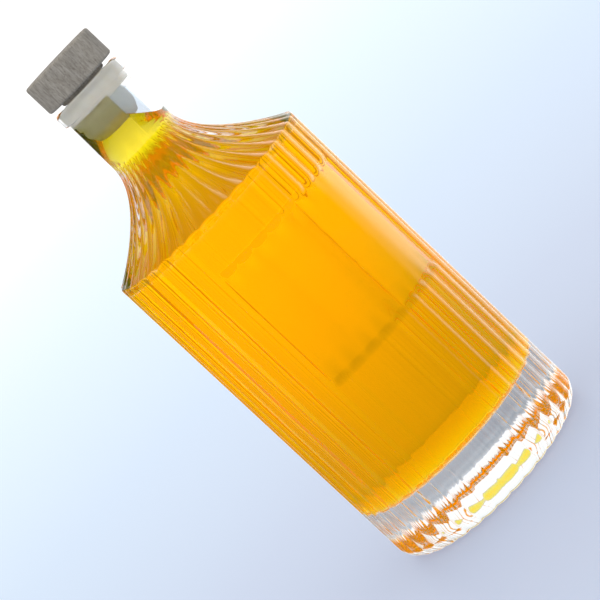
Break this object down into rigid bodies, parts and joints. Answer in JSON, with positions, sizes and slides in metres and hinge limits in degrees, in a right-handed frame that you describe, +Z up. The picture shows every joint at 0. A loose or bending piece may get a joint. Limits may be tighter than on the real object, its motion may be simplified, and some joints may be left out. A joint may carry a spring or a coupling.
{
  "type": "glass oil bottle",
  "caption": "Clear fluted cylindrical glass bottle with a smooth label panel, heavy base and swept shoulder, filled with golden oil and closed by a wooden bar-top stopper.",
  "frame": {"origin": "centre of the standing ring under the base, on the table", "axes": "+Z up along the bottle's axis, -Y towards the middle of the smooth label panel"},
  "size_m": [0.088, 0.088, 0.2186],
  "materials": {
    "clear_glass": "fire-polished clear flint glass",
    "golden_oil": "clear golden liquid",
    "turned_wood": "matt, fine-grained, unvarnished",
    "synthetic_cork": "matt foamed polymer",
    "glue": "set hot-melt adhesive"
  },
  "bodies": {
    "bottle": {"bottle_glass": "clear_glass", "oil": "golden_oil"},
    "stopper": {"stopper_head": "turned_wood", "stopper_plug": "synthetic_cork", "stopper_glue": "glue"}
  },
  "joints": [
    {"name": "stopper_pull", "type": "slide", "parent": "bottle", "child": "stopper", "axis": [0, 0, 1], "range_m": [0, 0.045]}
  ]
}
